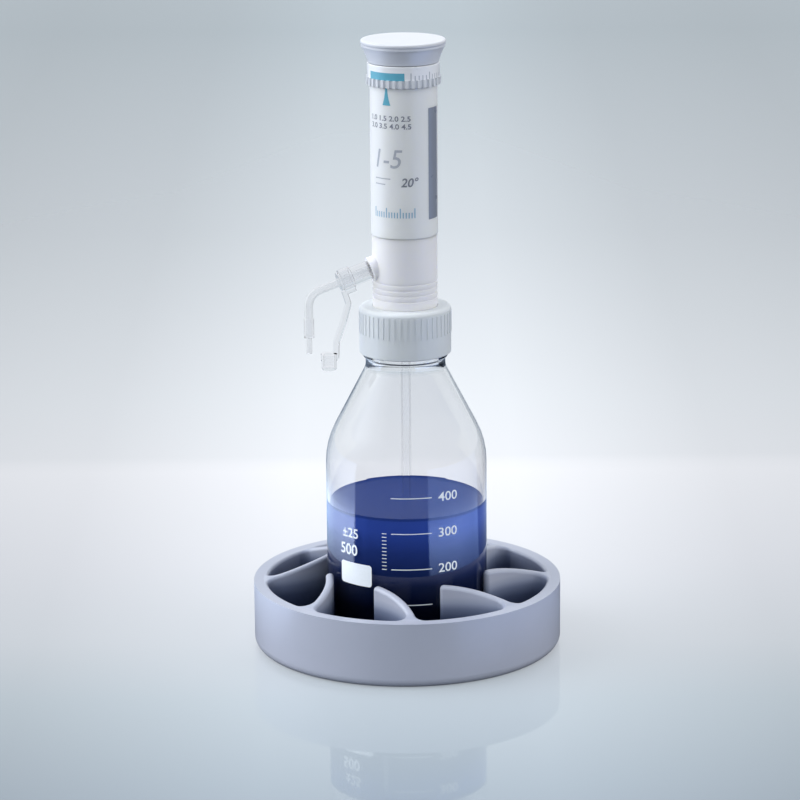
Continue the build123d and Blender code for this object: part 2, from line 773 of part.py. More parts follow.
arm_top = spout_point(clip_place, clip_r - 0.6)
with BuildPart() as cap_arm:
    with BuildLine(Plane.XZ):
        arm_line = FilletPolyline(
            (arm_top.X, arm_top.Z),
            (-30.9, 189.2),
            (-33.6, 179.6),
            (-37.6, 169.0),
            (-cap_x + cap_collar_r - 0.4, cap_collar_z + 1.0),
            radius=4.0,
        )
    with BuildSketch(Plane(origin=arm_line @ 0, x_dir=(0, 1, 0), z_dir=arm_line % 0)):
        RectangleRounded(arm_width, arm_thickness, 0.6)
    sweep(path=arm_line, transition=Transition.ROUND)
    with BuildSketch(spout_plane(clip_place - clip_width)):
        Circle(fitting_r + 0.4)
    extrude(amount=2 * clip_width, mode=Mode.SUBTRACT)
    # the ring, with a small lug on top to turn it by
    with BuildSketch(spout_plane(clip_place - clip_width / 2)):
        Circle(clip_r)
        with Locations((0, clip_r)):
            RectangleRounded(3.2, 3.6, 1.0)
        Circle(clip_groove_r + clip_gap, mode=Mode.SUBTRACT)
    extrude(amount=clip_width)
    with BuildSketch(Plane.XY.offset(cap_z)):
        with Locations((-cap_x, 0)):
            Circle(cap_collar_r + 0.02)
    extrude(amount=cap_top_z - cap_z, mode=Mode.SUBTRACT)
cap_arm.part.label = "cap_arm"
export_step(cap_arm.part, "parts/cap_arm.step")

with BuildPart() as closing_cap:
    with BuildSketch(Plane.XY.offset(cap_z)):
        with Locations((-cap_x, 0)):
            Circle(cap_r)
    extrude(amount=cap_top_z - cap_z)
    fillet(closing_cap.edges().group_by(Axis.Z)[0], 0.8)
    with BuildSketch(Plane.XY.offset(cap_collar_z)):
        with Locations((-cap_x, 0)):
            Circle(cap_collar_r)
    extrude(amount=cap_top_z - cap_collar_z)
    with BuildSketch(Plane.XY.offset(cap_z + cap_floor)):
        with Locations((-cap_x, 0)):
            Circle(cap_bore_r)
    extrude(amount=cap_top_z - cap_z, mode=Mode.SUBTRACT)
closing_cap.part.label = "closing_cap"
export_step(closing_cap.part, "parts/closing_cap.step")
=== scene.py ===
"""The finish of a bottle top dispenser on its bottle and stand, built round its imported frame.

Lengths in the helpers are millimetres, because that is how the pieces are dimensioned; MM turns
them into Blender's metres. Bearings are degrees about the bottle's axis, anticlockwise from above,
from +X. The spout points along -X.
"""

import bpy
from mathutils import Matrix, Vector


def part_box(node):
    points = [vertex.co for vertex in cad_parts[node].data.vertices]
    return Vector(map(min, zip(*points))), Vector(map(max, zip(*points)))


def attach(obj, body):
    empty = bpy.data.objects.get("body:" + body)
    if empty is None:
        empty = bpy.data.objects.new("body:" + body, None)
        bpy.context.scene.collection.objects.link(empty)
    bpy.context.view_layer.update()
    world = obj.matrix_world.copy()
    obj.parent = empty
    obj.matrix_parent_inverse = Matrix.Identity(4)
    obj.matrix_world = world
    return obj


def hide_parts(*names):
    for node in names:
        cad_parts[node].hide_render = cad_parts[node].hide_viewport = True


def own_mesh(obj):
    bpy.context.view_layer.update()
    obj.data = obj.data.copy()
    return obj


bl_info = {
    "name": "Bottle Top Dispenser",
    "version": (1, 0, 0),
    "blender": (4, 5, 0),
    "location": "View3D > Sidebar > Dispenser",
    "description": "Builds the finish of a bottle top dispenser round its packed frame",
    "category": "Add Mesh",
}

from math import atan2, cos, degrees, pi, radians, sin, sqrt, tan

import bmesh
import bpy
from bpy.props import FloatProperty, FloatVectorProperty, PointerProperty
from mathutils import Matrix, Vector

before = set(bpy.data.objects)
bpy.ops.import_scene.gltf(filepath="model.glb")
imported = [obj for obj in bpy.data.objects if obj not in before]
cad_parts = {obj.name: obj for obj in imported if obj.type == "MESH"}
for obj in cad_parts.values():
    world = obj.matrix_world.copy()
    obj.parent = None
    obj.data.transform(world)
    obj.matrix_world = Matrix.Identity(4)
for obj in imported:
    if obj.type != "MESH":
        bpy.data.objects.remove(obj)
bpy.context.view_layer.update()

MM = 0.001
FRONT = -105.0          # the bearing that the front of the print faces
ROUND = 192             # steps round a piece that is turned about the bottle's axis
ARC_STEP = 7.0          # degrees of a rounded corner's arc for each of its steps
TOUCH = 1e-7            # metres within which two vertices are one
CUT_PITCH = 0.8         # mm between the cuts that let a flat print bend
TICK_BEND = 0.15        # mm of rounding at a tick's corners
LINE_BEND = 0.2         # and at a longer line's


# ---------------------------------------------------------------- shapes

def node_top(node):
    """Height of a frame node's top, in millimetres."""
    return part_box(node)[1].z / MM


def node_bottom(node):
    """Height of a frame node's bottom, in millimetres."""
    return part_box(node)[0].z / MM


def rounded(corners):
    """An outline in (radius, height) with each corner (r, z, bend) rounded to its bend radius."""
    points = []
    count = len(corners)
    for place, corner in enumerate(corners):
        here = Vector(corner[:2])
        bend = corner[2] if len(corner) > 2 else 0.0
        if not bend or place in (0, count - 1):
            points.append(here)
            continue
        before = (Vector(corners[place - 1][:2]) - here).normalized()
        after = (Vector(corners[place + 1][:2]) - here).normalized()
        opening = before.angle(after)
        setback = bend / tan(opening / 2)
        middle = here + (before + after).normalized() * (bend / sin(opening / 2))
        start = here + before * setback
        end = here + after * setback
        turn = pi - opening
        steps = max(2, round(degrees(turn) / ARC_STEP))
        first, last = start - middle, end - middle
        swing = atan2(first.x * last.y - first.y * last.x, first.dot(last))
        for step in range(steps + 1):
            points.append(middle + Matrix.Rotation(swing * step / steps, 2) @ first)
    return points


def finish_mesh(bm, name, material, sharp=35.0):
    """Turns a bmesh into an object whose faces are smooth except across edges sharper than this."""
    for edge in bm.edges:
        edge.smooth = len(edge.link_faces) == 2 and edge.calc_face_angle(0.0) < radians(sharp)
    for face in bm.faces:
        face.smooth = True
    mesh = bpy.data.meshes.new(name)
    bm.to_mesh(mesh)
    bm.free()
    mesh.materials.append(material)
    piece = bpy.data.objects.new(name, mesh)
    bpy.context.scene.collection.objects.link(piece)
    return piece


def turned(outline):
    """A bmesh made by turning an outline, in mm, that starts and ends on the bottle's axis."""
    bm = bmesh.new()
    corners = [bm.verts.new((max(radius, 0.0) * MM, 0, height * MM)) for radius, height in outline]
    edges = [bm.edges.new(pair) for pair in zip(corners, corners[1:])]
    bmesh.ops.spin(
        bm, geom=corners + edges, cent=(0, 0, 0), axis=(0, 0, 1), dvec=(0, 0, 0),
        angle=2 * pi, steps=ROUND, use_merge=True, use_duplicate=False,
    )
    bmesh.ops.remove_doubles(bm, verts=bm.verts, dist=TOUCH)
    bmesh.ops.recalc_face_normals(bm, faces=bm.faces)
    return bm


def wrap(bm, radius, bearing, height):
    """Bends a flat sheet in XY, in metres, round the bottle's axis at this radius in mm."""
    reach = radius * MM
    for vert in bm.verts:
        angle = radians(bearing) + vert.co.x / reach
        out = reach + vert.co.z
        vert.co = Vector((out * cos(angle), out * sin(angle), height * MM + vert.co.y))


def span(bm, axis):
    """The least and greatest coordinate of a bmesh along an axis, 0 for X or 1 for Y, in metres."""
    places = [vert.co[axis] for vert in bm.verts]
    return min(places), max(places)


def cut_for_wrap(bm):
    """Adds upright cuts to a flat sheet so that it can bend."""
    low, high = span(bm, 0)
    count = int((high - low) / (CUT_PITCH * MM))
    for step in range(1, count + 1):
        place = low + (high - low) * step / (count + 1)
        geometry = bm.verts[:] + bm.edges[:] + bm.faces[:]
        bmesh.ops.bisect_plane(bm, geom=geometry, plane_co=(place, 0, 0), plane_no=(1, 0, 0))


def print_on_cylinder(bm, name, material, radius, bearing, height, thickness):
    """Bends a flat sheet round the axis, thickens it and makes it a piece."""
    bmesh.ops.remove_doubles(bm, verts=bm.verts, dist=TOUCH)
    cut_for_wrap(bm)
    wrap(bm, radius, bearing, height)
    bmesh.ops.recalc_face_normals(bm, faces=bm.faces)
    bmesh.ops.solidify(bm, geom=bm.faces[:], thickness=-thickness * MM)
    bmesh.ops.recalc_face_normals(bm, faces=bm.faces)
    return finish_mesh(bm, name, material)


def figure_sheet(text, cap_height, slant=0.0, stretch=1.0, weight=0.0):
    """A flat sheet of figures, centred on the origin, with capitals this many mm high."""
    curve = bpy.data.curves.new("figure", "FONT")
    curve.body = text
    curve.align_x = "CENTER"
    curve.align_y = "CENTER"
    curve.resolution_u = 4
    curve.offset = weight
    holder = bpy.data.objects.new("figure", curve)
    bpy.context.scene.collection.objects.link(holder)
    bpy.context.view_layer.update()
    mesh = bpy.data.meshes.new_from_object(holder)
    bm = bmesh.new()
    bm.from_mesh(mesh)
    bpy.data.objects.remove(holder)
    bpy.data.curves.remove(curve)
    bpy.data.meshes.remove(mesh)
    left, right = span(bm, 0)
    low, high = span(bm, 1)
    scale = cap_height * MM / (high - low)
    for vert in bm.verts:
        x = (vert.co.x - (left + right) / 2) * scale * stretch
        y = (vert.co.y - (low + high) / 2) * scale
        vert.co = Vector((x + slant * y, y, 0))
    return bm


def patch_sheet(width, height, bend):
    """A flat sheet with rounded corners, centred on the origin, in mm."""
    bm = bmesh.new()
    bmesh.ops.create_grid(bm, x_segments=1, y_segments=1, size=0.5)
    bmesh.ops.scale(bm, vec=(width * MM, height * MM, 1), verts=bm.verts)
    if bend:
        bmesh.ops.bevel(
            bm, geom=bm.verts[:], offset=bend * MM, offset_type="OFFSET", segments=5,
            profile=0.5, affect="VERTICES", material=-1,
        )
    return bm


def marks_sheet(marks):
    """Flat marks in one sheet, each (x, y, width, height) in mm and placed by its middle."""
    sheet = bmesh.new()
    for x, y, width, height in marks:
        mark = patch_sheet(width, height, TICK_BEND)
        bmesh.ops.translate(mark, verts=mark.verts, vec=(x * MM, y * MM, 0))
        mesh = bpy.data.meshes.new("mark")
        mark.to_mesh(mesh)
        mark.free()
        sheet.from_mesh(mesh)
        bpy.data.meshes.remove(mesh)
    return sheet


# ---------------------------------------------------------------- materials

def new_material(name):
    """A material with its principled shader, ready for nodes."""
    material = bpy.data.materials.new(name)
    material.use_nodes = True
    return material, material.node_tree, material.node_tree.nodes["Principled BSDF"]


def object_noise(tree, scale, detail, roughness=0.55, stretch=(1, 1, 1)):
    """Noise over the piece's own coordinates; stretch draws it out along an axis."""
    place = tree.nodes.new("ShaderNodeTexCoord")
    mapping = tree.nodes.new("ShaderNodeMapping")
    mapping.inputs["Scale"].default_value = stretch
    noise = tree.nodes.new("ShaderNodeTexNoise")
    noise.inputs["Scale"].default_value = scale
    noise.inputs["Detail"].default_value = detail
    noise.inputs["Roughness"].default_value = roughness
    tree.links.new(place.outputs["Object"], mapping.inputs["Vector"])
    tree.links.new(mapping.outputs["Vector"], noise.inputs["Vector"])
    return noise


def object_axes(tree):
    """The X, Y and Z of the piece's own coordinates, in metres."""
    place = tree.nodes.new("ShaderNodeTexCoord")
    split = tree.nodes.new("ShaderNodeSeparateXYZ")
    tree.links.new(place.outputs["Object"], split.inputs["Vector"])
    return split.outputs["X"], split.outputs["Y"], split.outputs["Z"]


def distance_out(tree, x, y):
    """How far a place is from the bottle's axis, in metres."""
    flat = tree.nodes.new("ShaderNodeCombineXYZ")
    tree.links.new(x, flat.inputs["X"])
    tree.links.new(y, flat.inputs["Y"])
    reach = tree.nodes.new("ShaderNodeVectorMath")
    reach.operation = "LENGTH"
    tree.links.new(flat.outputs["Vector"], reach.inputs[0])
    return reach.outputs["Value"]


def bearing_degrees(tree, opposite, adjacent):
    """The angle, in degrees, whose tangent is one socket over another."""
    return calculate(tree, "MULTIPLY", calculate(tree, "ARCTAN2", opposite, adjacent), degrees(1))


def spread(tree, source, low, high, from_low=0.35, from_high=0.65):
    """Maps a node's factor to a range of values; most noise lies between 0.35 and 0.65."""
    node = tree.nodes.new("ShaderNodeMapRange")
    node.inputs["From Min"].default_value = from_low
    node.inputs["From Max"].default_value = from_high
    node.inputs["To Min"].default_value = low
    node.inputs["To Max"].default_value = high
    tree.links.new(source, node.inputs["Value"])
    return node.outputs["Result"]


def two_tones(tree, factor, first, second):
    """A colour between two, by a factor; the second may be a socket."""
    mix = tree.nodes.new("ShaderNodeMix")
    mix.data_type = "RGBA"
    mix.inputs["A"].default_value = (*first, 1)
    if isinstance(second, tuple):
        mix.inputs["B"].default_value = (*second, 1)
    else:
        tree.links.new(second, mix.inputs["B"])
    tree.links.new(factor, mix.inputs["Factor"])
    return mix.outputs["Result"]


def ramp(tree, factor, stops):
    """A colour or grey ramp through these (value, colour) stops, whatever their range."""
    low, high = stops[0][0], stops[-1][0]
    colours = [
        (value, colour if isinstance(colour, tuple) else (colour,) * 3) for value, colour in stops
    ]
    node = tree.nodes.new("ShaderNodeValToRGB")
    elements = node.color_ramp.elements
    for element, (value, colour) in zip(elements, (colours[0], colours[-1])):
        element.position = (value - low) / (high - low)
        element.color = (*colour, 1)
    for value, colour in colours[1:-1]:
        elements.new((value - low) / (high - low)).color = (*colour, 1)
    tree.links.new(spread(tree, factor, 0.0, 1.0, low, high), node.inputs["Fac"])
    return node.outputs["Color"]


def calculate(tree, operation, first, second=None):
    """A math node's result; the second value is a socket or a number."""
    node = tree.nodes.new("ShaderNodeMath")
    node.operation = operation
    tree.links.new(first, node.inputs[0])
    if isinstance(second, (int, float)):
        node.inputs[1].default_value = second
    elif second is not None:
        tree.links.new(second, node.inputs[1])
    return node.outputs["Value"]


def multiply_colours(tree, first, second):
    """One colour times another."""
    mix = tree.nodes.new("ShaderNodeMix")
    mix.data_type = "RGBA"
    mix.blend_type = "MULTIPLY"
    mix.inputs["Factor"].default_value = 1.0
    tree.links.new(first, mix.inputs["A"])
    tree.links.new(second, mix.inputs["B"])
    return mix.outputs["Result"]


def add_bump(tree, shader, height, strength, distance):
    """Bump from a height socket; distance is its depth in metres."""
    bump = tree.nodes.new("ShaderNodeBump")
    bump.inputs["Strength"].default_value = strength
    bump.inputs["Distance"].default_value = distance
    tree.links.new(height, bump.inputs["Height"])
    tree.links.new(bump.outputs["Normal"], shader.inputs["Normal"])


def darker(colour, share):
    """The same colour with less light."""
    return tuple(part * share for part in colour)


def drift_tones(tree, noise, colour, tone):
    """The colour, falling to this share of itself where the noise is low."""
    return two_tones(tree, spread(tree, noise.outputs["Fac"], 0, 1), darker(colour, tone), colour)


POLISH_SWING = 0.03     # how far a moulding's roughness wanders to either side
GRAIN_STRENGTH = 0.3
SOFT_REACH = (0.004, 0.004, 0.005)      # metres that red, green and blue go into soft plastic


def moulded(name, colour, roughness, grain=2600.0, depth=0.000006, tone=0.96, coat=0.0, soft=0.0):
    """Moulded plastic: a fine grain, a slow drift of tone and an uneven polish."""
    material, tree, shader = new_material(name)
    drift = object_noise(tree, 28.0, 3.0)
    tree.links.new(drift_tones(tree, drift, colour, tone), shader.inputs["Base Color"])
    polish = object_noise(tree, 90.0, 4.0)
    shade = spread(tree, polish.outputs["Fac"], roughness - POLISH_SWING, roughness + POLISH_SWING)
    tree.links.new(shade, shader.inputs["Roughness"])
    fine = object_noise(tree, grain, 2.0)
    add_bump(tree, shader, fine.outputs["Fac"], GRAIN_STRENGTH, depth)
    shader.inputs["Coat Weight"].default_value = coat
    shader.inputs["Coat Roughness"].default_value = 0.15
    if soft:
        shader.inputs["Subsurface Weight"].default_value = soft
        shader.inputs["Subsurface Radius"].default_value = SOFT_REACH
        shader.inputs["Subsurface Scale"].default_value = 1.0
    return material


CAP_EDGE_DROP = 1.2     # mm from the cap's face down to where its edge turns grey
CAP_EDGE_BLEND = 0.3    # mm to either side over which it turns
CAP_EDGE_SHARE = (0.84, 0.86, 0.91)


def cap_plastic(settings):
    """White satin plastic with a pale grey edge, like the knob it is pressed into."""
    material = moulded("cap_satin", tuple(settings.cap_colour), 0.4, tone=0.985)
    tree = material.node_tree
    shader = tree.nodes["Principled BSDF"]
    face_colour = shader.inputs["Base Color"].links[0].from_socket
    height = object_axes(tree)[2]
    turn = node_top("knob_cap") - CAP_EDGE_DROP
    edge_share = ramp(tree, height, (
        ((turn - CAP_EDGE_BLEND) * MM, CAP_EDGE_SHARE), ((turn + CAP_EDGE_BLEND) * MM, 1.0),
    ))
    tree.links.new(multiply_colours(tree, face_colour, edge_share), shader.inputs["Base Color"])
    return material


def clear_plastic(name, colour, roughness, through, ior):
    """Clear or milky plastic, its index low because thin walls hardly bend the light."""
    material, tree, shader = new_material(name)
    flow = object_noise(tree, 60.0, 3.0, stretch=(1, 1, 0.25))
    tree.links.new(drift_tones(tree, flow, colour, 0.98), shader.inputs["Base Color"])
    cloud = object_noise(tree, 150.0, 3.0)
    shade = spread(tree, cloud.outputs["Fac"], max(roughness - 0.02, 0.0), roughness + 0.02)
    tree.links.new(shade, shader.inputs["Roughness"])
    shader.inputs["Transmission Weight"].default_value = through
    shader.inputs["IOR"].default_value = ior
    return material


# The stand's painted shade inside its rim by height, in mm, and its tone there: the pockets darken
# to blue-black towards their floor.
POCKET_SHADE_DEPTHS = (
    (4, (0.03, 0.045, 0.10)), (18, (0.06, 0.08, 0.16)), (26, (0.16, 0.20, 0.30)),
    (31, (0.40, 0.45, 0.56)), (34, (0.74, 0.78, 0.85)), (37.5, (1.0, 1.0, 1.0)),
)
POCKET_R = 75.6         # mm from the axis to the rim's inner wall, within which the pockets lie
POCKET_BLEND = 0.4      # mm to either side over which their tone begins


def stand_plastic(settings):
    """Satin grey-blue plastic with a fine grain, a few rubbed places and painted shade deep in its
    pockets.
    """
    material, tree, shader = new_material("stand_satin_plastic")
    colour = tuple(settings.stand_colour)
    tint = drift_tones(tree, object_noise(tree, 22.0, 5.0), colour, 0.96)
    rub = object_noise(tree, 9.0, 6.0, 0.7)
    worn = spread(tree, rub.outputs["Fac"], 0.0, 0.3, 0.58, 0.72)
    rubbed = two_tones(tree, worn, (1.0, 1.0, 1.0), (1.1, 1.1, 1.1))
    x, y, height = object_axes(tree)
    # Painted shade: inside the rim the stand darkens towards the pockets' floor.
    inside = ramp(tree, distance_out(tree, x, y), (
        ((POCKET_R - POCKET_BLEND) * MM, 1.0), ((POCKET_R + POCKET_BLEND) * MM, 0.0),
    ))
    shade_depths = ramp(tree, height, [(place * MM, tone) for place, tone in POCKET_SHADE_DEPTHS])
    pocket_shade = two_tones(tree, inside, (1.0, 1.0, 1.0), shade_depths)
    paint = multiply_colours(tree, multiply_colours(tree, tint, rubbed), pocket_shade)
    tree.links.new(paint, shader.inputs["Base Color"])
    tree.links.new(spread(tree, rub.outputs["Fac"], 0.34, 0.42), shader.inputs["Roughness"])
    grain = object_noise(tree, 1900.0, 2.0)
    add_bump(tree, shader, grain.outputs["Fac"], 0.4, 0.00001)
    shader.inputs["Specular IOR Level"].default_value = 0.5
    shader.inputs["Coat Weight"].default_value = 0.25
    shader.inputs["Coat Roughness"].default_value = 0.22
    return material


def bottle_glass(settings):
    """Clear laboratory glass with the faint waviness of a blown wall."""
    material, tree, shader = new_material("bottle_clear_glass")
    colour = tuple(settings.glass_colour)
    wave = object_noise(tree, 14.0, 2.0, stretch=(1, 1, 0.4))
    tree.links.new(drift_tones(tree, wave, colour, 0.985), shader.inputs["Base Color"])
    haze = object_noise(tree, 120.0, 5.0)
    tree.links.new(spread(tree, haze.outputs["Fac"], 0.0, 0.02), shader.inputs["Roughness"])
    shader.inputs["Transmission Weight"].default_value = 1.0
    shader.inputs["IOR"].default_value = 1.47
    add_bump(tree, shader, wave.outputs["Fac"], 0.05, 0.0006)
    return material


LEVEL_DROP = 1.6        # mm from the top of the frame's liquid down to the level
# The reagent's painted shade by height above its level, in mm: the share of its full colour left.
REAGENT_SHADE_DEPTHS = (
    (-60, 0.015), (-50, 0.02), (-37, 0.12), (-18, 0.55),
    (-7, 0.97), (-0.8, 0.97), (-0.2, 0.62), (2, 0.62),
)


def reagent_level():
    """Height of the reagent's level, in mm."""
    return node_top("liquid") - LEVEL_DROP


def reagent(settings):
    """A deep blue solution with painted shade: darker towards the bottle's foot, in the stand's
    shade, and on its top surface.
    """
    material, tree, shader = new_material("reagent_deep_blue")
    colour = tuple(settings.liquid_colour)
    level = reagent_level()
    # Painted shade by height: darker low down, where the stand shades it, and on the top surface.
    shade_depths = [((level + height) * MM, darker(colour, share)) for height, share in REAGENT_SHADE_DEPTHS]
    cloud = object_noise(tree, 10.0, 2.0)
    drift = ramp(tree, cloud.outputs["Fac"], ((0.3, 0.92), (0.7, 1.0)))
    tint = multiply_colours(tree, ramp(tree, object_axes(tree)[2], shade_depths), drift)
    tree.links.new(tint, shader.inputs["Base Color"])
    still = object_noise(tree, 60.0, 2.0)
    tree.links.new(spread(tree, still.outputs["Fac"], 0.02, 0.05), shader.inputs["Roughness"])
    shader.inputs["IOR"].default_value = 1.10
    shader.inputs["Specular IOR Level"].default_value = 0.24
    return material


def enamel(name, colour):
    """Fired or printed ink: dense, with a slightly uneven gloss."""
    material, tree, shader = new_material(name)
    lay = object_noise(tree, 900.0, 4.0)
    tree.links.new(drift_tones(tree, lay, colour, 0.97), shader.inputs["Base Color"])
    gloss = spread(tree, lay.outputs["Fac"], 0.29, 0.43)
    tree.links.new(gloss, shader.inputs["Roughness"])
    add_bump(tree, shader, lay.outputs["Fac"], 0.2, 0.00001)
    return material


STEEL_TONES = ((0.50, 0.51, 0.53), (0.66, 0.67, 0.69))


def bright_steel():
    """Drawn steel with its fine lengthwise lines."""
    material, tree, shader = new_material("drawn_steel")
    lines = object_noise(tree, 700.0, 3.0, stretch=(1, 1, 0.05))
    tint = two_tones(tree, spread(tree, lines.outputs["Fac"], 0, 1), *STEEL_TONES)
    tree.links.new(tint, shader.inputs["Base Color"])
    tree.links.new(spread(tree, lines.outputs["Fac"], 0.22, 0.38), shader.inputs["Roughness"])
    shader.inputs["Metallic"].default_value = 1.0
    return material


def finish_node(node, material):
    """Gives a frame node its material."""
    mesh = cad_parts[node].data
    mesh.materials.clear()
    mesh.materials.append(material)


# ---------------------------------------------------------------- settings

class StandSettings(bpy.types.PropertyGroup):
    """Colours of the stand."""
    stand_colour: FloatVectorProperty(
        name="Stand colour", description="Grey-blue of the moulded stand",
        subtype="COLOR", size=3, min=0, max=1, default=(0.43, 0.455, 0.55),
    )


class BottleSettings(bpy.types.PropertyGroup):
    """Sizes and colours of the bottle and its print."""
    glass_colour: FloatVectorProperty(
        name="Glass colour", description="Tint of the bottle's glass",
        subtype="COLOR", size=3, min=0, max=1, default=(0.985, 0.99, 0.995),
    )
    liquid_colour: FloatVectorProperty(
        name="Reagent colour", description="Deep blue of the reagent",
        subtype="COLOR", size=3, min=0, max=1, default=(0.060, 0.130, 0.60),
    )
    print_colour: FloatVectorProperty(
        name="Print colour", description="White enamel of the graduations",
        subtype="COLOR", size=3, min=0, max=1, default=(0.90, 0.95, 1.0),
    )
    wall: FloatProperty(
        name="Wall", description="Thickness of the bottle's wall, in mm",
        default=1.7, min=1.5, max=4.0,
    )
    thread_depth: FloatProperty(
        name="Thread depth", description="Height of the neck's screw thread, in mm",
        default=1.1, min=0.2, max=1.3,
    )


class HeadSettings(bpy.types.PropertyGroup):
    """Colours of the dispenser."""
    nut_colour: FloatVectorProperty(
        name="Nut colour", description="Pale grey of the union nut",
        subtype="COLOR", size=3, min=0, max=1, default=(0.66, 0.69, 0.72),
    )
    block_colour: FloatVectorProperty(
        name="Block colour", description="Frosted white of the valve block",
        subtype="COLOR", size=3, min=0, max=1, default=(0.82, 0.81, 0.83),
    )
    housing_colour: FloatVectorProperty(
        name="Housing colour", description="White of the housing",
        subtype="COLOR", size=3, min=0, max=1, default=(0.82, 0.83, 0.86),
    )
    window_colour: FloatVectorProperty(
        name="Window colour", description="Smoked grey of the sight window",
        subtype="COLOR", size=3, min=0, max=1, default=(0.23, 0.25, 0.30),
    )
    ring_colour: FloatVectorProperty(
        name="Ring colour", description="Grey of the knurled ring",
        subtype="COLOR", size=3, min=0, max=1, default=(0.70, 0.72, 0.76),
    )
    knob_colour: FloatVectorProperty(
        name="Knob colour", description="Lavender grey of the knob",
        subtype="COLOR", size=3, min=0, max=1, default=(0.66, 0.68, 0.75),
    )
    cap_colour: FloatVectorProperty(
        name="Cap colour", description="White of the disc on the knob",
        subtype="COLOR", size=3, min=0, max=1, default=(0.67, 0.68, 0.72),
    )
    clear_colour: FloatVectorProperty(
        name="Clear plastic colour", description="Tint of the spout's plastic",
        subtype="COLOR", size=3, min=0, max=1, default=(0.985, 0.988, 0.995),
    )
    teal_colour: FloatVectorProperty(
        name="Teal", description="Teal of the printed pointer and bar",
        subtype="COLOR", size=3, min=0, max=1, default=(0.12, 0.40, 0.53),
    )
    blue_ink_colour: FloatVectorProperty(
        name="Blue ink", description="Blue of the printed ticks",
        subtype="COLOR", size=3, min=0, max=1, default=(0.22, 0.42, 0.60),
    )
    pale_ink_colour: FloatVectorProperty(
        name="Pale ink", description="Pale grey of the volume range and the scale",
        subtype="COLOR", size=3, min=0, max=1, default=(0.42, 0.44, 0.50),
    )
    ink_colour: FloatVectorProperty(
        name="Ink", description="Grey of the printed figures",
        subtype="COLOR", size=3, min=0, max=1, default=(0.22, 0.23, 0.28),
    )


class StageSettings(bpy.types.PropertyGroup):
    """Light and camera."""
    world_level: FloatProperty(
        name="Ambient level", description="Light from all round", default=1.0, min=0, max=2,
    )
    left_level: FloatProperty(
        name="Left level", description="Light from the broad panel on the left",
        default=1.15, min=0, max=20,
    )
    right_level: FloatProperty(
        name="Right level", description="Light from the broad panel on the right",
        default=1.55, min=0, max=20,
    )
    top_level: FloatProperty(
        name="Top level", description="Light from above and behind", default=0.4, min=0, max=20,
    )
    front_level: FloatProperty(
        name="Front level", description="Fill from the front", default=1.3, min=0, max=20,
    )
    lens: FloatProperty(
        name="Lens", description="Focal length of the camera",
        default=160.7, min=20, max=400, unit="CAMERA",
    )


# ---------------------------------------------------------------- operators

class DISPENSER_OT_stage(bpy.types.Operator):
    """Sets the camera, the bench and the light"""
    bl_idname = "dispenser.stage"
    bl_label = "Stage"

    def execute(self, context):
        settings = context.scene.dispenser_stage
        place_camera(settings)
        build_bench()
        build_light(settings)
        context.scene.view_settings.view_transform = "Standard"
        return {"FINISHED"}


class DISPENSER_OT_stand(bpy.types.Operator):
    """Finishes the vaned stand"""
    bl_idname = "dispenser.stand"
    bl_label = "Stand"

    def execute(self, context):
        finish_node("bottle_stand", stand_plastic(context.scene.dispenser_stand))
        return {"FINISHED"}


class DISPENSER_OT_bottle(bpy.types.Operator):
    """Builds the glass bottle, its screw thread and the reagent"""
    bl_idname = "dispenser.bottle"
    bl_label = "Bottle"

    def execute(self, context):
        settings = context.scene.dispenser_bottle
        build_bottle(settings)
        build_reagent(settings)
        return {"FINISHED"}


class DISPENSER_OT_bottle_print(bpy.types.Operator):
    """Prints the graduations, figures and writing patch on the bottle"""
    bl_idname = "dispenser.bottle_print"
    bl_label = "Bottle Print"

    def execute(self, context):
        build_bottle_print(context.scene.dispenser_bottle)
        return {"FINISHED"}


class DISPENSER_OT_head(bpy.types.Operator):
    """Finishes the dispenser's housing, nut, rings, knob and spout"""
    bl_idname = "dispenser.head"
    bl_label = "Dispenser Head"

    def execute(self, context):
        finish_head(context.scene.dispenser_head)
        return {"FINISHED"}


class DISPENSER_OT_head_print(bpy.types.Operator):
    """Prints the pointer, figures and scale on the dispenser"""
    bl_idname = "dispenser.head_print"
    bl_label = "Dispenser Print"

    def execute(self, context):
        build_housing_print(context.scene.dispenser_head)
        build_scale_print(context.scene.dispenser_head)
        return {"FINISHED"}


class DISPENSER_PT_panel(bpy.types.Panel):
    """Lists the pieces"""
    bl_label = "Bottle Top Dispenser"
    bl_idname = "DISPENSER_PT_panel"
    bl_space_type = "VIEW_3D"
    bl_region_type = "UI"
    bl_category = "Dispenser"

    def draw(self, context):
        for operator in OPERATORS:
            self.layout.operator(operator.bl_idname)
        for group in SETTINGS:
            for key in SETTINGS[group].__annotations__:
                self.layout.prop(getattr(context.scene, group), key)


# ---------------------------------------------------------------- stage

CAMERA_PLACE = (-0.0031, -1.843, 0.618)     # in metres, before it is swung round to the front
CAMERA_DIP = 14.71                          # degrees below level
CAMERA_ROLL = -0.46                         # degrees, so that the object leans a little
SENSOR_WIDTH = 36.0                         # mm
CAMERA_CLIP = (0.05, 100.0)                 # the nearest and farthest that it sees, in metres
TO_FRONT = radians(FRONT + 90)              # turns what faces -Y so that it faces the front


def place_camera(settings):
    """Puts the camera before the print, looking down a little."""
    data = bpy.data.cameras.new("camera")
    data.lens = settings.lens
    data.sensor_width = SENSOR_WIDTH
    data.clip_start, data.clip_end = CAMERA_CLIP
    camera = bpy.data.objects.new("camera", data)
    bpy.context.scene.collection.objects.link(camera)
    swing = Matrix.Rotation(TO_FRONT, 4, "Z")
    aim = Matrix.Rotation(radians(90 - CAMERA_DIP), 4, "X")
    roll = Matrix.Rotation(radians(CAMERA_ROLL), 4, "Z")
    camera.matrix_world = swing @ Matrix.Translation(CAMERA_PLACE) @ aim @ roll
    bpy.context.scene.camera = camera


BENCH_R = 14.0          # in metres


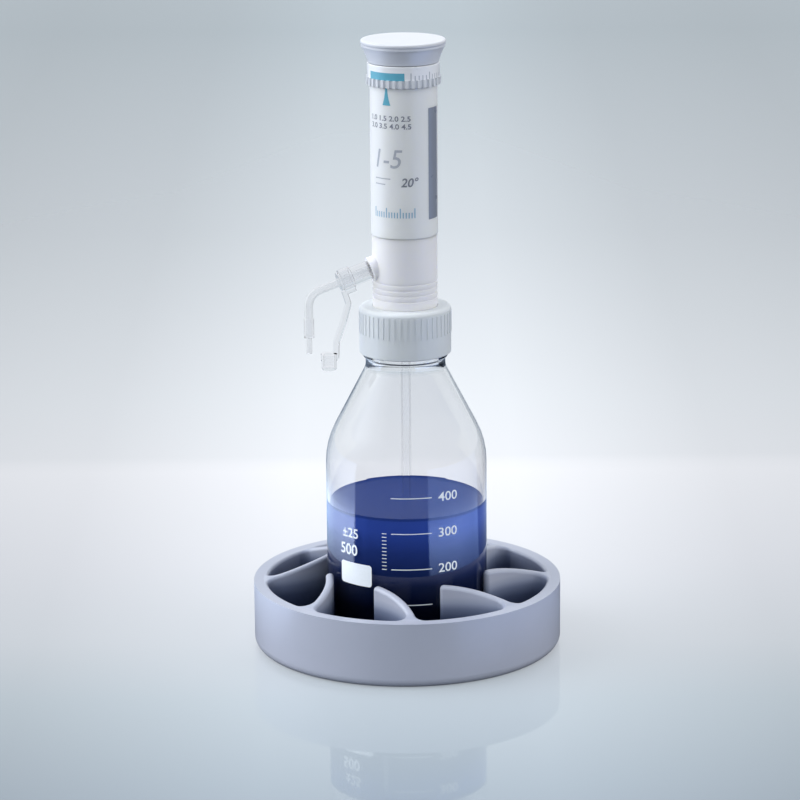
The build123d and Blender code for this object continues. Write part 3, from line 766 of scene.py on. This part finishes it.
def build_bench():
    """A pale glossy bench with a painted pool of light: white round the object, fading to grey-blue
    far off.
    """
    bm = bmesh.new()
    bmesh.ops.create_circle(bm, cap_ends=True, segments=96, radius=BENCH_R)
    bench = finish_mesh(bm, "bench", bench_material())
    bench.rotation_euler = (0, 0, TO_FRONT)


# The bench's paint, a painted pool of light round the object: metres behind the bottle's axis, and
# the colour there.
BENCH_ALONG = (
    (-0.60, (0.14, 0.16, 0.20)), (-0.30, (0.27, 0.32, 0.38)), (-0.23, (0.34, 0.40, 0.46)),
    (-0.10, (0.46, 0.52, 0.57)), (0.00, (0.60, 0.63, 0.67)), (0.14, (0.68, 0.69, 0.73)),
    (0.345, (0.77, 0.77, 0.80)), (0.365, (0.70, 0.71, 0.74)), (0.51, (0.66, 0.68, 0.71)),
    (1.07, (0.46, 0.49, 0.52)), (2.15, (0.22, 0.27, 0.30)), (4.00, (0.20, 0.25, 0.28)),
)
# How far to the side, in metres, and the share of the paint's brightness left there, as the painted
# light falls off.
BENCH_ACROSS = (
    (0.0, 1.0), (0.07, 0.985), (0.15, 0.83), (0.20, 0.74), (0.30, 0.68), (0.38, 0.63), (0.60, 0.68),
)
BENCH_LIT = 0.45        # the share of the paint that the lamps light
BENCH_OWN = 0.60        # the share that it shows by itself
# Painted reflections on the bench: two glowing sides that only glossy surfaces see, standing in for
# light panels, by the bearing in degrees, counted to the right from the front, and by the distance
# from the bottle's axis in metres.
PANEL_BEARINGS = (
    (-180, (0.14, 0.18, 0.24)), (-155, (0.20, 0.28, 0.40)), (-115, (0.80, 0.98, 1.30)),
    (-90, (1.45, 1.75, 2.40)), (-76, (1.60, 1.95, 2.70)), (-74, (0.0, 0.005, 0.02)),
    (28, (0.0, 0.005, 0.02)), (30, (0.62, 0.90, 1.65)), (70, (0.60, 0.86, 1.60)),
    (100, (0.30, 0.44, 0.80)), (114, (0.24, 0.36, 0.66)), (118, (0.06, 0.08, 0.14)),
    (180, (0.14, 0.18, 0.24)),
)
PANEL_REACH = (
    (0.10, 0.0), (0.16, 0.15), (0.22, 0.6), (0.27, 0.95),
    (0.31, 1.0), (0.34, 0.6), (0.38, 0.35), (1.20, 0.3),
)
PANEL_STRENGTH = 4.0


def bench_material():
    """Bench paint by place, a painted pool of light, with glowing sides that only glossy surfaces
    see: painted reflections of light panels.
    """
    material, tree, shader = new_material("bench_gloss")
    x, y, _ = object_axes(tree)
    # Painted light: a pool of light round the object, darker far off and to the sides.
    across = ramp(tree, calculate(tree, "ABSOLUTE", x), BENCH_ACROSS)
    paint = multiply_colours(tree, ramp(tree, y, BENCH_ALONG), across)
    lit = tree.nodes.new("ShaderNodeVectorMath")
    lit.operation = "SCALE"
    lit.inputs["Scale"].default_value = BENCH_LIT
    tree.links.new(paint, lit.inputs[0])
    tree.links.new(lit.outputs["Vector"], shader.inputs["Base Color"])
    shader.inputs["Roughness"].default_value = 0.03
    shader.inputs["IOR"].default_value = 1.36
    path = tree.nodes.new("ShaderNodeLightPath").outputs
    direct = calculate(tree, "MAXIMUM", path["Is Camera Ray"], path["Is Transmission Ray"])
    own = calculate(tree, "MULTIPLY", direct, BENCH_OWN)
    tree.links.new(paint, shader.inputs["Emission Color"])
    tree.links.new(own, shader.inputs["Emission Strength"])
    # Painted reflections: glowing sides on the bench that only glossy rays see.
    bearing = bearing_degrees(tree, x, calculate(tree, "MULTIPLY", y, -1.0))
    side = ramp(tree, bearing, PANEL_BEARINGS)
    reach = ramp(tree, distance_out(tree, x, y), PANEL_REACH)
    panels = tree.nodes.new("ShaderNodeEmission")
    tree.links.new(multiply_colours(tree, side, reach), panels.inputs["Color"])
    panels.inputs["Strength"].default_value = PANEL_STRENGTH
    seen = tree.nodes.new("ShaderNodeMixShader")
    off_gloss = calculate(tree, "SUBTRACT", path["Is Glossy Ray"], path["Is Transmission Ray"])
    tree.links.new(off_gloss, seen.inputs["Fac"])
    tree.links.new(shader.outputs["BSDF"], seen.inputs[1])
    tree.links.new(panels.outputs["Emission"], seen.inputs[2])
    tree.links.new(seen.outputs["Shader"], tree.nodes["Material Output"].inputs["Surface"])
    material.cycles.emission_sampling = "NONE"
    return material


# The lamps: name, bearing counted to the right from the front, height up from level and width, in
# degrees, and colour. Each has its level in the settings.
LAMPS = (
    ("left", -86, 30, 56, (1.0, 0.96, 0.92)),
    ("right", 76, 30, 60, (1.0, 1.0, 1.0)),
    ("top", 180, 72, 70, (1.0, 1.0, 1.0)),
    ("front", -10, 15, 90, (0.84, 0.91, 1.0)),
)


def add_lamp(name, level, bearing, height, width, colour):
    """A far soft light that glass and gloss don't mirror."""
    data = bpy.data.lights.new(name, "SUN")
    data.energy = level
    data.color = colour
    data.angle = radians(width)
    lamp = bpy.data.objects.new(name, data)
    lamp.visible_glossy = False
    lamp.visible_transmission = False
    bpy.context.scene.collection.objects.link(lamp)
    tip = Matrix.Rotation(radians(90 - height), 4, "X")
    swing = Matrix.Rotation(TO_FRONT + radians(bearing), 4, "Z")
    lamp.matrix_world = swing @ tip


# The studio's brightness by direction: 1 straight ahead of the bottle's front, -1 behind it.
STUDIO_LEVELS = ((-1.0, 0.85), (-0.5, 0.80), (0.0, 0.36), (0.45, 0.16), (1.0, 0.12))
STUDIO_SEEN = 0.80      # its brightness where the camera sees it
STUDIO_COLOUR = (0.88, 0.94, 1.0)
# A tall soft panel in it: its strength seen direct and through glass, and its share by bearing in
# degrees, counted to the right from the front, and by the sine of its height.
PANEL_LEVEL = 4.6
PANEL_LEVEL_BEHIND_GLASS = 0.4
PANEL_SWING = ((-150, 0.0), (-120, 0.35), (-88, 1.0), (-60, 0.35), (-35, 0.0))
PANEL_RISE = ((-0.1, 0.2), (0.1, 0.3), (0.3, 0.5), (0.6, 1.0), (0.85, 0.7), (0.99, 0.0))


def studio_world(level):
    """Cool light from all round, bright behind the object and dim before it."""
    world = bpy.data.worlds.new("studio")
    world.use_nodes = True
    tree = world.node_tree
    background = tree.nodes["Background"]
    background.inputs["Color"].default_value = (*STUDIO_COLOUR, 1)
    place = tree.nodes.new("ShaderNodeTexCoord")
    turn = tree.nodes.new("ShaderNodeVectorRotate")
    turn.rotation_type = "Z_AXIS"
    turn.inputs["Angle"].default_value = -radians(FRONT)
    tree.links.new(place.outputs["Generated"], turn.inputs["Vector"])
    split = tree.nodes.new("ShaderNodeSeparateXYZ")
    tree.links.new(turn.outputs["Vector"], split.inputs["Vector"])
    ahead = split.outputs["X"]
    swing = ramp(tree, bearing_degrees(tree, split.outputs["Y"], ahead), PANEL_SWING)
    rise = ramp(tree, split.outputs["Z"], PANEL_RISE)
    path = tree.nodes.new("ShaderNodeLightPath").outputs
    behind_glass = calculate(tree, "MINIMUM", path["Transmission Depth"], 1.0)
    level_left = spread(tree, behind_glass, PANEL_LEVEL, PANEL_LEVEL_BEHIND_GLASS, 0.0, 1.0)
    panel = calculate(tree, "MULTIPLY", multiply_colours(tree, swing, rise), level_left)
    around = calculate(tree, "MULTIPLY", ramp(tree, ahead, STUDIO_LEVELS), level)
    glow = calculate(tree, "ADD", around, panel)
    mix = tree.nodes.new("ShaderNodeMix")
    mix.inputs["B"].default_value = STUDIO_SEEN
    tree.links.new(path["Is Camera Ray"], mix.inputs["Factor"])
    tree.links.new(glow, mix.inputs["A"])
    tree.links.new(mix.outputs["Result"], background.inputs["Strength"])
    return world


def build_light(settings):
    """The light from all round, and the lamps."""
    bpy.context.scene.world = studio_world(settings.world_level)
    for name, bearing, height, width, colour in LAMPS:
        level = getattr(settings, f"{name}_level")
        add_lamp(f"{name}_panel", level, bearing, height, width, colour)


# ---------------------------------------------------------------- bottle

# Radii, heights above the bench and the bends of corners, in mm.
BOTTLE_R = 43.0
NECK_R = 21.2
NECK_BORE_R = 17.4
SHOULDER_Z = 111.6
SHOULDER_BEND = 44
NECK_FOOT_Z = 153.5
NECK_BEND = 8
HEEL_BEND = 8.0
BEAD_R = NECK_R + 1.3
BEAD_BEND = 0.9
FLOOR_R = 30            # where the flat floor turns into the ring that the bottle stands on
FLOOR_THICKNESS = 2.8
LIP_BEND = 1.4
THREAD_PITCH = 4.0
THREAD_TURNS = 2.4
THREAD_FOOT_Z = 165.5
THREAD_ROW = 0.35       # mm between the rows of vertices that the thread is raised from
THREAD_ZONE = (162.0, 178.6)    # the heights that the thread keeps between
REAGENT_OVERLAP = 0.12  # mm that the reagent reaches into the glass, so that no gap shows
MENISCUS_RISE = 0.9
THREAD_FADE = 0.12      # turns over which each end of the thread rises
THREAD_HALF = 0.36      # half the thread's width, as a share of its pitch


def raise_thread(bm, depth):
    """Lifts the neck's screw thread, this many mm high, out of its smooth rows."""
    low, high = THREAD_ZONE
    for vert in bm.verts:
        radius = vert.co.xy.length / MM
        height = vert.co.z / MM
        if not (abs(radius - NECK_R) < 0.02 and low < height < high):
            continue
        turn = atan2(vert.co.y, vert.co.x) / (2 * pi) % 1.0
        climb = (height - THREAD_FOOT_Z) / THREAD_PITCH
        nearest = round(climb - turn) + turn
        if not 0.0 <= nearest <= THREAD_TURNS:
            continue
        ends = min(nearest, THREAD_TURNS - nearest, THREAD_FADE) / THREAD_FADE
        ridge = max(0.0, 1.0 - ((climb - nearest) / THREAD_HALF) ** 4)
        lift = 1.0 + depth * ends * ridge / radius
        vert.co.x *= lift
        vert.co.y *= lift


def build_bottle(settings):
    """The glass bottle: heel, wall, cone-shaped shoulder, threaded neck and pouring lip."""
    foot, mouth = node_bottom("bottle"), node_top("bottle")
    wall = settings.wall
    inner = BOTTLE_R - wall
    slope = (BOTTLE_R - NECK_R) / (NECK_FOOT_Z - SHOULDER_Z)
    inner_shoulder = SHOULDER_Z + wall * (1 - sqrt(1 + slope ** 2)) / slope
    inner_neck = inner_shoulder + (inner - NECK_BORE_R) / slope
    rows = round(THREAD_PITCH * (THREAD_TURNS + 1) / THREAD_ROW)
    first_row = THREAD_FOOT_Z - THREAD_PITCH / 2
    thread_rows = [(NECK_R, first_row + THREAD_ROW * row) for row in range(rows + 1)]
    outer = rounded([
        (0, foot + 1.8), (FLOOR_R, foot + 1.0, 6), (34.5, foot, 3), (BOTTLE_R, foot, HEEL_BEND),
        (BOTTLE_R, SHOULDER_Z, SHOULDER_BEND), (NECK_R, NECK_FOOT_Z, NECK_BEND), (NECK_R, 158.0),
        (BEAD_R, 159.2, BEAD_BEND), (BEAD_R, 161.2, BEAD_BEND), (NECK_R, 162.4),
    ])
    lip = rounded([
        (NECK_R, 178.5), (NECK_R, 179.0), (NECK_R + 0.7, 180.2, 0.6), (NECK_R + 0.5, mouth, 1.2),
        (NECK_BORE_R, mouth, LIP_BEND), (NECK_BORE_R, inner_neck, 10), (inner, inner_shoulder, 41),
        (inner, foot + 3.4, 7.5), (FLOOR_R, foot + 3.9, 9), (0, foot + 1.8 + FLOOR_THICKNESS),
    ])
    bm = turned([tuple(p) for p in outer] + thread_rows + [tuple(p) for p in lip])
    raise_thread(bm, settings.thread_depth)
    piece = finish_mesh(bm, "glass_bottle", bottle_glass(settings), sharp=50)
    piece.visible_shadow = False
    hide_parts("bottle")
    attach(piece, "bottle_with_reagent")


def build_reagent(settings):
    """The reagent: it meets the glass all round and climbs it a little at its edge."""
    foot = node_bottom("bottle")
    level = reagent_level()
    edge = BOTTLE_R - settings.wall + REAGENT_OVERLAP
    outline = rounded([
        (0, foot + 4.5), (FLOOR_R, foot + 3.8, 9), (edge, foot + 3.3, 7.4),
        (edge, level + MENISCUS_RISE), (edge - 0.5, level + 0.4, 0.4),
        (edge - 2.4, level, 2.0), (0, level),
    ])
    bm = turned([tuple(p) for p in outline])
    piece = finish_mesh(bm, "blue_reagent", reagent(settings), sharp=60)
    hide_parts("liquid")
    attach(piece, "bottle_with_reagent")


# The print on the bottle. Heights are of each thing's middle; bearings are counted to the right
# from the front.
PRINT_R = BOTTLE_R + 0.02
ENAMEL_THICKNESS = 0.05
GRADUATIONS = ((100, 33.0), (200, 52.6), (300, 72.2), (400, 91.7))      # volume and height
GRADUATION_SWEEP = 29.2
GRADUATION_WIDTH = 0.45
GRADUATION_BEARING = 3.3
FIGURE_BEARING = 30.4
FIGURE_HEIGHT = 5.0
# Text, piece, cap height, weight, bearing and height of the other figures.
BOTTLE_FIGURES = (
    ("\u00b125", "figure_tolerance", 5.4, 0.01, -44.5, 69.8),
    ("500", "figure_capacity", 6.2, 0.016, -46.0, 60.6),
)
PATCH_SIZE = (21.0, 12.0, 1.6)          # width, height and the bend of its corners
PATCH_PLACE = (-40.0, 47.6)             # bearing and height
FINE_BEARING = -16.3
FINE_STEPS = 10
FINE_MARK = (2.6, 0.4)                  # width and height


def bottle_print_piece(bm, name, material, bearing, height):
    """One printed thing on the bottle; bearing is counted to the right from the front."""
    bearing += FRONT
    piece = print_on_cylinder(bm, name, material, PRINT_R, bearing, height, ENAMEL_THICKNESS)
    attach(piece, "bottle_with_reagent")
    return piece


def build_bottle_print(settings):
    """Graduation lines with their figures, the capacity and a patch to write on."""
    white = enamel("white_enamel", tuple(settings.print_colour))
    line_length = radians(GRADUATION_SWEEP) * PRINT_R
    for volume, height in GRADUATIONS:
        line = patch_sheet(line_length, GRADUATION_WIDTH, LINE_BEND)
        bottle_print_piece(line, f"graduation_{volume}", white, GRADUATION_BEARING, height)
        figure = figure_sheet(str(volume), FIGURE_HEIGHT, stretch=1.12, weight=0.007)
        bottle_print_piece(figure, f"figure_{volume}", white, FIGURE_BEARING, height)
    for text, name, cap_height, weight, bearing, height in BOTTLE_FIGURES:
        figure = figure_sheet(text, cap_height, weight=weight)
        bottle_print_piece(figure, name, white, bearing, height)
    bottle_print_piece(patch_sheet(*PATCH_SIZE), "writing_patch", white, *PATCH_PLACE)
    low, high = GRADUATIONS[1][1], GRADUATIONS[2][1]
    marks = [(0, (high - low) * step / FINE_STEPS, *FINE_MARK) for step in range(FINE_STEPS + 1)]
    bottle_print_piece(marks_sheet(marks), "fine_graduations", white, FINE_BEARING, low)


# ---------------------------------------------------------------- dispenser

# The clear pieces, which let the lamps' light through.
CLEAR_NODES = (
    "outlet_fitting", "spout_tube", "nozzle_sleeve", "nozzle_tip",
    "cap_arm", "closing_cap", "intake_tube",
)


def finish_head(settings):
    """Gives every piece of the dispenser its finish."""
    clear = tuple(settings.clear_colour)
    white = tuple(settings.housing_colour)
    finishes = (
        (moulded("nut_soft_plastic", tuple(settings.nut_colour), 0.42, soft=0.25), ["union_nut"]),
        (moulded("frosted_plastic", tuple(settings.block_colour), 0.5, tone=0.97, soft=0.9),
         ["valve_block"]),
        (moulded("housing_gloss", white, 0.38, tone=0.985, coat=0.06, soft=0.5), ["label_sleeve"]),
        (moulded("smoked_window", tuple(settings.window_colour), 0.3, coat=0.3), ["sight_window"]),
        (moulded("ring_plastic", tuple(settings.ring_colour), 0.38), ["setting_ring"]),
        (moulded("scale_band", white, 0.3, tone=0.985, coat=0.3), ["scale_ring"]),
        (moulded("knob_satin", tuple(settings.knob_colour), 0.4, soft=0.1), ["knob"]),
        (cap_plastic(settings), ["knob_cap"]),
        (clear_plastic("spout_clear_plastic", clear, 0.03, 1.0, 1.055),
         ["outlet_fitting", "cap_arm", "closing_cap"]),
        (clear_plastic("tube_clear_plastic", clear, 0.03, 1.0, 1.10), ["intake_tube"]),
        (clear_plastic("tube_milky_plastic", clear, 0.18, 0.86, 1.05),
         ["spout_tube", "nozzle_sleeve", "nozzle_tip"]),
        (clear_plastic("barrel_glass", clear, 0.02, 1.0, 1.47), ["glass_cylinder"]),
        (moulded("inner_white", (0.80, 0.80, 0.79), 0.35),
         ["plunger_sleeve", "intake_valve", "outlet_plug", "rod_guide", "stop_sleeve"]),
        (moulded("seal_rubber", (0.70, 0.70, 0.67), 0.6, 900.0, 0.00002),
         ["bottle_gasket", "cylinder_seal"]),
        (moulded("polished_ceramic", (0.85, 0.83, 0.78), 0.15, 3000.0, coat=0.6),
         ["intake_ball", "outlet_ball", "piston"]),
        (bright_steel(), ["outlet_spring", "stop_peg", "piston_rod", "knob_screw"]),
    )
    for material, nodes in finishes:
        for node in nodes:
            finish_node(node, material)
    for node in CLEAR_NODES:
        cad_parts[node].visible_shadow = False
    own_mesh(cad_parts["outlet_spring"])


# The print on the dispenser. Bearings are counted to the right from the front; heights are of each
# thing's middle, but of the foot for a row of ticks. Places are (bearing, height).
HOUSING_R = 17.72
SCALE_R = 18.92
PRINT_THICKNESS = 0.04
POINTER_HEIGHT = 9.4
POINTER_PLACE = (-30.5, 300.6)
# The pointer's outline: share of its height from its middle, and half its width in mm there.
POINTER_ROWS = ((-0.5, 2.4), (-0.36, 1.95), (-0.1, 1.25), (0.2, 0.8), (0.5, 0.5))
VOLUME_ROWS = (("1.0 1.5 2.0 2.5", 289.1), ("3.0 3.5 4.0 4.5", 285.0))     # figures and height
VOLUME_BEARING = -27.0
RANGE_PLACE = (-27.5, 267.8)
# The small rules: piece, length, bearing and height.
RULES = (("small_rule", 10.0, -40.0, 257.2), ("small_rule_2", 7.0, -45.0, 254.2))
RULE_WIDTH = 0.5
TEMPERATURE_PLACE = (10.0, 255.6)
# Rows of ticks: how many, how many steps the sweep in degrees is cut into, the sweep, the width of
# a tick, and the heights of the tall ones and of the others.
BLUE_TICKS = (16, 15, 75.0, 0.55, 5.2, 3.0)
BLUE_TICKS_PLACE = (-57.0, 236.6)
SCALE_TICKS = (40, 40, 270.0, 0.5, 4.0, 2.6)
SCALE_TICKS_PLACE = (12.0, 309.1)
BAR_SWEEP = 65.6
BAR_WIDTH = 4.0
BAR_PLACE = (-31.2, 311.1)
SLANT = 0.2             # how far the slanting figures lean, as a share of their height


def head_print_piece(bm, name, material, radius, bearing, height, body="head"):
    """One printed thing on the dispenser; bearing is counted to the right from the front."""
    bearing += FRONT
    piece = print_on_cylinder(bm, name, material, radius, bearing, height, PRINT_THICKNESS)
    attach(piece, body)
    return piece


def pointer_sheet():
    """A pointer that stands on a broad foot and draws in to a narrow tip, centred on the origin."""
    bm = bmesh.new()
    rows = [(half * MM, share * POINTER_HEIGHT * MM) for share, half in POINTER_ROWS]
    left = [bm.verts.new((-half, height, 0)) for half, height in rows]
    right = [bm.verts.new((half, height, 0)) for half, height in rows]
    for step in range(len(rows) - 1):
        bm.faces.new((left[step], right[step], right[step + 1], left[step + 1]))
    return bm


def tick_row(ticks, radius):
    """A flat row of ticks that stand on one line, every fifth of them tall."""
    count, steps, sweep, width, tall, short = ticks
    marks = []
    for step in range(count):
        height = short if step % 5 else tall
        marks.append((radians(sweep * step / steps) * radius, height / 2, width, height))
    return marks_sheet(marks)


def build_housing_print(settings):
    """The pointer, the volume range and plain figures and rules on the housing."""
    teal = enamel("teal_print", tuple(settings.teal_colour))
    ink = enamel("grey_print", tuple(settings.ink_colour))
    pale = enamel("pale_grey_print", tuple(settings.pale_ink_colour))
    blue = enamel("blue_print", tuple(settings.blue_ink_colour))
    head_print_piece(pointer_sheet(), "pointer", teal, HOUSING_R, *POINTER_PLACE)
    for row, (figures, height) in enumerate(VOLUME_ROWS):
        sheet = figure_sheet(figures, 2.8, stretch=1.15, weight=0.018)
        head_print_piece(sheet, f"volume_row_{row}", ink, HOUSING_R, VOLUME_BEARING, height)
    sheet = figure_sheet("1-5", 9.8, slant=SLANT, stretch=0.95)
    head_print_piece(sheet, "volume_range", pale, HOUSING_R, *RANGE_PLACE)
    for name, length, bearing, height in RULES:
        rule = patch_sheet(length, RULE_WIDTH, LINE_BEND)
        head_print_piece(rule, name, pale, HOUSING_R, bearing, height)
    sheet = figure_sheet("20\u00b0", 5.0, slant=SLANT, weight=0.018)
    head_print_piece(sheet, "temperature", ink, HOUSING_R, *TEMPERATURE_PLACE)
    ticks = tick_row(BLUE_TICKS, HOUSING_R)
    head_print_piece(ticks, "blue_ticks", blue, HOUSING_R, *BLUE_TICKS_PLACE)


def build_scale_print(settings):
    """The teal bar and the volume scale that turn with the ring."""
    teal = enamel("teal_scale_print", tuple(settings.teal_colour))
    ink = enamel("grey_scale_print", tuple(settings.pale_ink_colour))
    bar = patch_sheet(radians(BAR_SWEEP) * SCALE_R, BAR_WIDTH, LINE_BEND)
    head_print_piece(bar, "scale_bar", teal, SCALE_R, *BAR_PLACE, "volume_dial")
    ticks = tick_row(SCALE_TICKS, SCALE_R)
    head_print_piece(ticks, "scale_ticks", ink, SCALE_R, *SCALE_TICKS_PLACE, "volume_dial")


# ---------------------------------------------------------------- running it

SETTINGS = {
    "dispenser_stage": StageSettings,
    "dispenser_stand": StandSettings,
    "dispenser_bottle": BottleSettings,
    "dispenser_head": HeadSettings,
}
OPERATORS = (
    DISPENSER_OT_stage,
    DISPENSER_OT_stand,
    DISPENSER_OT_bottle,
    DISPENSER_OT_bottle_print,
    DISPENSER_OT_head,
    DISPENSER_OT_head_print,
)


def register():
    """Registers the settings, operators and panel."""
    for name, group in SETTINGS.items():
        bpy.utils.register_class(group)
        setattr(bpy.types.Scene, name, PointerProperty(type=group))
    for operator in OPERATORS:
        bpy.utils.register_class(operator)
    bpy.utils.register_class(DISPENSER_PT_panel)


def unregister():
    """Takes them away again."""
    bpy.utils.unregister_class(DISPENSER_PT_panel)
    for operator in reversed(OPERATORS):
        bpy.utils.unregister_class(operator)
    for name, group in reversed(SETTINGS.items()):
        delattr(bpy.types.Scene, name)
        bpy.utils.unregister_class(group)


def main():
    """Registers the add-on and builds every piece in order."""
    register()
    bpy.ops.dispenser.stage()
    bpy.ops.dispenser.stand()
    bpy.ops.dispenser.bottle()
    bpy.ops.dispenser.bottle_print()
    bpy.ops.dispenser.head()
    bpy.ops.dispenser.head_print()


if __name__ == "__main__":
    main()
